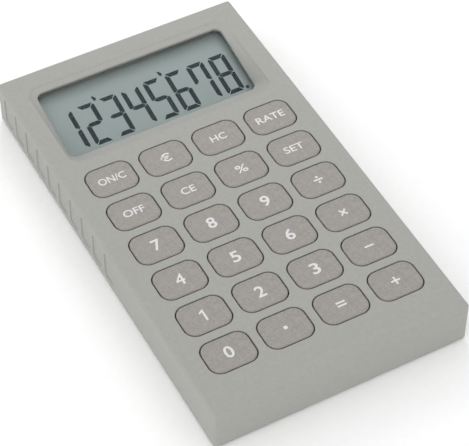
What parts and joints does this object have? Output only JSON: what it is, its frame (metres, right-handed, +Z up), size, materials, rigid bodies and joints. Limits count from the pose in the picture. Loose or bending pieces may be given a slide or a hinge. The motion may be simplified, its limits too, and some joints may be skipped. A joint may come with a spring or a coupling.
{
  "type": "pocket calculator",
  "caption": "Slab-shaped pocket calculator with a sunken tilted liquid-crystal display, rounded push keys, a screwed rear cover and a coin-cell door.",
  "frame": {"origin": "centre of the footprint, on the surface that the feet stand on", "axes": "+X to the user's right, +Y away from the user towards the display, +Z up out of the keys"},
  "size_m": [0.0754, 0.1334, 0.0143],
  "materials": {
    "case_plastic": "warm grey soft-touch lacquer with a very fine grain",
    "cover_plastic": "warm grey moulded plastic, fine spark-eroded texture",
    "key_plastic": "taupe-grey moulded keycap, matte",
    "legend_print": "white pad print on the keys",
    "silicone": "matte translucent silicone rubber",
    "board_laminate": "green solder mask",
    "black_resin": "cast black resin",
    "spring_steel": "nickel-plated spring strip",
    "cell_steel": "stamped stainless steel",
    "clear_window": "clear polished window",
    "display_glass": "thin glass with polariser",
    "display_film": "blue-grey reflector film",
    "display_segments": "dark liquid-crystal segments",
    "white_plastic": "natural white moulding",
    "ribbon_film": "amber film with printed tracks",
    "foot_rubber": "dark grey matte rubber",
    "screw_steel": "bright zinc-plated screw"
  },
  "bodies": {
    "case": {"case_top": "case_plastic", "keypad_membrane": "silicone", "circuit_board": "board_laminate", "chip_blob": "black_resin", "capacitor": "black_resin", "cell_contact_plus": "spring_steel", "cell_contact_minus": "spring_steel", "coin_cell": "cell_steel", "display_lens": "clear_window", "lcd_glass": "display_glass", "lcd_reflector": "display_film", "lcd_frame": "white_plastic", "lcd_ribbon": "ribbon_film", "rear_cover": "cover_plastic", "foot_1": "foot_rubber", "foot_2": "foot_rubber", "foot_3": "foot_rubber", "foot_4": "foot_rubber", "case_screw_1": "screw_steel", "case_screw_2": "screw_steel", "case_screw_3": "screw_steel", "case_screw_4": "screw_steel", "case_screw_5": "screw_steel", "case_screw_6": "screw_steel", "board_screw_1": "screw_steel", "board_screw_2": "screw_steel", "board_screw_3": "screw_steel", "board_screw_4": "screw_steel"},
    "battery_door": {"battery_door": "cover_plastic"},
    "key_on": {"key_on": "key_plastic"},
    "key_euro": {"key_euro": "key_plastic"},
    "key_home": {"key_home": "key_plastic"},
    "key_rate": {"key_rate": "key_plastic"},
    "key_off": {"key_off": "key_plastic"},
    "key_clear": {"key_clear": "key_plastic"},
    "key_percent": {"key_percent": "key_plastic"},
    "key_set": {"key_set": "key_plastic"},
    "key_7": {"key_7": "key_plastic"},
    "key_8": {"key_8": "key_plastic"},
    "key_9": {"key_9": "key_plastic"},
    "key_divide": {"key_divide": "key_plastic"},
    "key_4": {"key_4": "key_plastic"},
    "key_5": {"key_5": "key_plastic"},
    "key_6": {"key_6": "key_plastic"},
    "key_multiply": {"key_multiply": "key_plastic"},
    "key_1": {"key_1": "key_plastic"},
    "key_2": {"key_2": "key_plastic"},
    "key_3": {"key_3": "key_plastic"},
    "key_minus": {"key_minus": "key_plastic"},
    "key_0": {"key_0": "key_plastic"},
    "key_point": {"key_point": "key_plastic"},
    "key_equals": {"key_equals": "key_plastic"},
    "key_plus": {"key_plus": "key_plastic"}
  },
  "joints": [
    {"name": "battery_door_lift", "type": "slide", "parent": "case", "child": "battery_door", "axis": [0, 0, -1], "range_m": [0, 0.02]},
    {"name": "press_on", "type": "slide", "parent": "case", "child": "key_on", "axis": [0, 0, -1], "range_m": [0, 0.0009], "stiffness_N_per_m": 700, "deforming": ["keypad_membrane"]},
    {"name": "press_euro", "type": "slide", "parent": "case", "child": "key_euro", "axis": [0, 0, -1], "range_m": [0, 0.0009], "stiffness_N_per_m": 700, "deforming": ["keypad_membrane"]},
    {"name": "press_home", "type": "slide", "parent": "case", "child": "key_home", "axis": [0, 0, -1], "range_m": [0, 0.0009], "stiffness_N_per_m": 700, "deforming": ["keypad_membrane"]},
    {"name": "press_rate", "type": "slide", "parent": "case", "child": "key_rate", "axis": [0, 0, -1], "range_m": [0, 0.0009], "stiffness_N_per_m": 700, "deforming": ["keypad_membrane"]},
    {"name": "press_off", "type": "slide", "parent": "case", "child": "key_off", "axis": [0, 0, -1], "range_m": [0, 0.0009], "stiffness_N_per_m": 700, "deforming": ["keypad_membrane"]},
    {"name": "press_clear", "type": "slide", "parent": "case", "child": "key_clear", "axis": [0, 0, -1], "range_m": [0, 0.0009], "stiffness_N_per_m": 700, "deforming": ["keypad_membrane"]},
    {"name": "press_percent", "type": "slide", "parent": "case", "child": "key_percent", "axis": [0, 0, -1], "range_m": [0, 0.0009], "stiffness_N_per_m": 700, "deforming": ["keypad_membrane"]},
    {"name": "press_set", "type": "slide", "parent": "case", "child": "key_set", "axis": [0, 0, -1], "range_m": [0, 0.0009], "stiffness_N_per_m": 700, "deforming": ["keypad_membrane"]},
    {"name": "press_7", "type": "slide", "parent": "case", "child": "key_7", "axis": [0, 0, -1], "range_m": [0, 0.0009], "stiffness_N_per_m": 700, "deforming": ["keypad_membrane"]},
    {"name": "press_8", "type": "slide", "parent": "case", "child": "key_8", "axis": [0, 0, -1], "range_m": [0, 0.0009], "stiffness_N_per_m": 700, "deforming": ["keypad_membrane"]},
    {"name": "press_9", "type": "slide", "parent": "case", "child": "key_9", "axis": [0, 0, -1], "range_m": [0, 0.0009], "stiffness_N_per_m": 700, "deforming": ["keypad_membrane"]},
    {"name": "press_divide", "type": "slide", "parent": "case", "child": "key_divide", "axis": [0, 0, -1], "range_m": [0, 0.0009], "stiffness_N_per_m": 700, "deforming": ["keypad_membrane"]},
    {"name": "press_4", "type": "slide", "parent": "case", "child": "key_4", "axis": [0, 0, -1], "range_m": [0, 0.0009], "stiffness_N_per_m": 700, "deforming": ["keypad_membrane"]},
    {"name": "press_5", "type": "slide", "parent": "case", "child": "key_5", "axis": [0, 0, -1], "range_m": [0, 0.0009], "stiffness_N_per_m": 700, "deforming": ["keypad_membrane"]},
    {"name": "press_6", "type": "slide", "parent": "case", "child": "key_6", "axis": [0, 0, -1], "range_m": [0, 0.0009], "stiffness_N_per_m": 700, "deforming": ["keypad_membrane"]},
    {"name": "press_multiply", "type": "slide", "parent": "case", "child": "key_multiply", "axis": [0, 0, -1], "range_m": [0, 0.0009], "stiffness_N_per_m": 700, "deforming": ["keypad_membrane"]},
    {"name": "press_1", "type": "slide", "parent": "case", "child": "key_1", "axis": [0, 0, -1], "range_m": [0, 0.0009], "stiffness_N_per_m": 700, "deforming": ["keypad_membrane"]},
    {"name": "press_2", "type": "slide", "parent": "case", "child": "key_2", "axis": [0, 0, -1], "range_m": [0, 0.0009], "stiffness_N_per_m": 700, "deforming": ["keypad_membrane"]},
    {"name": "press_3", "type": "slide", "parent": "case", "child": "key_3", "axis": [0, 0, -1], "range_m": [0, 0.0009], "stiffness_N_per_m": 700, "deforming": ["keypad_membrane"]},
    {"name": "press_minus", "type": "slide", "parent": "case", "child": "key_minus", "axis": [0, 0, -1], "range_m": [0, 0.0009], "stiffness_N_per_m": 700, "deforming": ["keypad_membrane"]},
    {"name": "press_0", "type": "slide", "parent": "case", "child": "key_0", "axis": [0, 0, -1], "range_m": [0, 0.0009], "stiffness_N_per_m": 700, "deforming": ["keypad_membrane"]},
    {"name": "press_point", "type": "slide", "parent": "case", "child": "key_point", "axis": [0, 0, -1], "range_m": [0, 0.0009], "stiffness_N_per_m": 700, "deforming": ["keypad_membrane"]},
    {"name": "press_equals", "type": "slide", "parent": "case", "child": "key_equals", "axis": [0, 0, -1], "range_m": [0, 0.0009], "stiffness_N_per_m": 700, "deforming": ["keypad_membrane"]},
    {"name": "press_plus", "type": "slide", "parent": "case", "child": "key_plus", "axis": [0, 0, -1], "range_m": [0, 0.0009], "stiffness_N_per_m": 700, "deforming": ["keypad_membrane"]}
  ]
}
